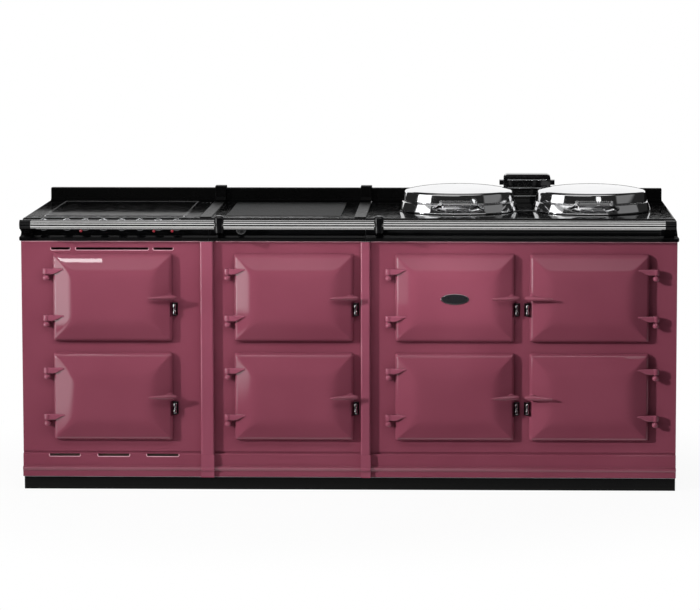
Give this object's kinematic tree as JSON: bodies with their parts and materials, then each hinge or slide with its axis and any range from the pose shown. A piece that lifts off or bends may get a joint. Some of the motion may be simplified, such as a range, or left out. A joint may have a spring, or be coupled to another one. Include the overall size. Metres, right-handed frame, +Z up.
{
  "type": "range cooker",
  "caption": "Wide cast iron range cooker with enamelled oven doors in two rows, a flush glass hob, a warming plate, domed lids over round hotplates and a polished front handrail.",
  "frame": {"origin": "on the floor, under the middle of the footprint", "axes": "+X to the right along the front, +Y from the front to the back, +Z up"},
  "size_m": [2.09, 0.753, 0.969],
  "materials": {
    "coloured_enamel": "gloss vitreous enamel",
    "black_enamel": "gloss vitreous enamel",
    "plinth_paint": "satin paint",
    "zinc_steel": "zinc plated",
    "polished_rail": "polished",
    "lid_chrome": "polished",
    "cast_aluminium": "satin",
    "black_glass": "polished ceramic glass",
    "satin_plate": "satin",
    "machined_iron": "machined",
    "oven_iron": "as cast",
    "element_sheath": "heat tinted",
    "catch_steel": "satin",
    "liner_steel": "satin",
    "badge_metal": "polished",
    "knob_metal": "polished"
  },
  "bodies": {
    "cooker": {"plinth": "plinth_paint", "chassis": "zinc_steel", "levelling_feet": "zinc_steel", "side_panels": "coloured_enamel", "base_moulding": "coloured_enamel", "joint_posts": "coloured_enamel", "front_left": "coloured_enamel", "front_middle": "coloured_enamel", "front_right": "coloured_enamel", "top_left": "black_enamel", "top_middle": "black_enamel", "top_right": "black_enamel", "upstand": "black_enamel", "handrails": "polished_rail", "rail_brackets": "black_enamel", "flue_cowl": "black_enamel", "glass_hob": "black_glass", "warming_plate": "satin_plate", "hotplates": "machined_iron", "heating_elements": "element_sheath", "oven_shelves": "zinc_steel", "hinge_brackets": "coloured_enamel", "door_catches": "catch_steel", "lid_hinges": "catch_steel", "ovens_left": "oven_iron", "ovens_middle": "oven_iron", "ovens_centre": "oven_iron", "ovens_right": "oven_iron"},
    "door_left_lower": {"door_left_lower": "coloured_enamel", "door_liner_left_lower": "liner_steel"},
    "door_left_upper": {"door_left_upper": "coloured_enamel", "door_liner_left_upper": "liner_steel"},
    "door_middle_lower": {"door_middle_lower": "coloured_enamel", "door_liner_middle_lower": "liner_steel"},
    "door_middle_upper": {"door_middle_upper": "coloured_enamel", "door_liner_middle_upper": "liner_steel"},
    "door_centre_lower": {"door_centre_lower": "coloured_enamel", "door_liner_centre_lower": "liner_steel"},
    "door_centre_upper": {"door_centre_upper": "coloured_enamel", "door_liner_centre_upper": "liner_steel", "badge_plate": "badge_metal"},
    "door_right_lower": {"door_right_lower": "coloured_enamel", "door_liner_right_lower": "liner_steel"},
    "door_right_upper": {"door_right_upper": "coloured_enamel", "door_liner_right_upper": "liner_steel"},
    "hob_knob_1": {"hob_knob_1": "knob_metal"},
    "hob_knob_2": {"hob_knob_2": "knob_metal"},
    "hob_knob_3": {"hob_knob_3": "knob_metal"},
    "hob_knob_4": {"hob_knob_4": "knob_metal"},
    "hob_knob_5": {"hob_knob_5": "knob_metal"},
    "hob_knob_6": {"hob_knob_6": "knob_metal"},
    "hob_knob_7": {"hob_knob_7": "knob_metal"},
    "hob_knob_8": {"hob_knob_8": "knob_metal"},
    "control_dial": {"control_dial": "knob_metal"},
    "lid_left": {"lid_left": "lid_chrome", "lid_liner_left": "cast_aluminium", "lid_handle_left": "lid_chrome"},
    "lid_right": {"lid_right": "lid_chrome", "lid_liner_right": "cast_aluminium", "lid_handle_right": "lid_chrome"}
  },
  "joints": [
    {"name": "door_left_lower_hinge", "type": "hinge", "parent": "cooker", "child": "door_left_lower", "pos_m": [-0.9585, -0.2955, 0.3045], "axis": [0, 0, -1], "range_deg": [0, 110]},
    {"name": "door_left_upper_hinge", "type": "hinge", "parent": "cooker", "child": "door_left_upper", "pos_m": [-0.9585, -0.2955, 0.6215], "axis": [0, 0, -1], "range_deg": [0, 110]},
    {"name": "door_middle_lower_hinge", "type": "hinge", "parent": "cooker", "child": "door_middle_lower", "pos_m": [-0.383, -0.2955, 0.3045], "axis": [0, 0, -1], "range_deg": [0, 110]},
    {"name": "door_middle_upper_hinge", "type": "hinge", "parent": "cooker", "child": "door_middle_upper", "pos_m": [-0.383, -0.2955, 0.6215], "axis": [0, 0, -1], "range_deg": [0, 110]},
    {"name": "door_centre_lower_hinge", "type": "hinge", "parent": "cooker", "child": "door_centre_lower", "pos_m": [0.1275, -0.2955, 0.3045], "axis": [0, 0, -1], "range_deg": [0, 110]},
    {"name": "door_centre_upper_hinge", "type": "hinge", "parent": "cooker", "child": "door_centre_upper", "pos_m": [0.1275, -0.2955, 0.6215], "axis": [0, 0, -1], "range_deg": [0, 110]},
    {"name": "door_right_lower_hinge", "type": "hinge", "parent": "cooker", "child": "door_right_lower", "pos_m": [0.9725, -0.2955, 0.3045], "axis": [0, 0, 1], "range_deg": [0, 110]},
    {"name": "door_right_upper_hinge", "type": "hinge", "parent": "cooker", "child": "door_right_upper", "pos_m": [0.9725, -0.2955, 0.6215], "axis": [0, 0, 1], "range_deg": [0, 110]},
    {"name": "hob_knob_1_turn", "type": "hinge", "parent": "cooker", "child": "hob_knob_1", "pos_m": [-0.968, -0.2735, 0.852], "axis": [0, 1, 0], "range_deg": [0, 270]},
    {"name": "hob_knob_2_turn", "type": "hinge", "parent": "cooker", "child": "hob_knob_2", "pos_m": [-0.893, -0.2735, 0.852], "axis": [0, 1, 0], "range_deg": [0, 270]},
    {"name": "hob_knob_3_turn", "type": "hinge", "parent": "cooker", "child": "hob_knob_3", "pos_m": [-0.835, -0.2735, 0.852], "axis": [0, 1, 0], "range_deg": [0, 270]},
    {"name": "hob_knob_4_turn", "type": "hinge", "parent": "cooker", "child": "hob_knob_4", "pos_m": [-0.777, -0.2735, 0.852], "axis": [0, 1, 0], "range_deg": [0, 270]},
    {"name": "hob_knob_5_turn", "type": "hinge", "parent": "cooker", "child": "hob_knob_5", "pos_m": [-0.719, -0.2735, 0.852], "axis": [0, 1, 0], "range_deg": [0, 270]},
    {"name": "hob_knob_6_turn", "type": "hinge", "parent": "cooker", "child": "hob_knob_6", "pos_m": [-0.661, -0.2735, 0.852], "axis": [0, 1, 0], "range_deg": [0, 270]},
    {"name": "hob_knob_7_turn", "type": "hinge", "parent": "cooker", "child": "hob_knob_7", "pos_m": [-0.603, -0.2735, 0.852], "axis": [0, 1, 0], "range_deg": [0, 270]},
    {"name": "hob_knob_8_turn", "type": "hinge", "parent": "cooker", "child": "hob_knob_8", "pos_m": [-0.545, -0.2735, 0.852], "axis": [0, 1, 0], "range_deg": [0, 270]},
    {"name": "control_dial_turn", "type": "hinge", "parent": "cooker", "child": "control_dial", "pos_m": [-0.341, -0.2735, 0.837], "axis": [0, 1, 0], "range_deg": [0, 270]},
    {"name": "lid_left_hinge", "type": "hinge", "parent": "cooker", "child": "lid_left", "pos_m": [0.347, 0.2405, 0.895], "axis": [-1, 0, 0], "range_deg": [0, 90]},
    {"name": "lid_right_hinge", "type": "hinge", "parent": "cooker", "child": "lid_right", "pos_m": [0.779, 0.2405, 0.895], "axis": [-1, 0, 0], "range_deg": [0, 90]}
  ]
}
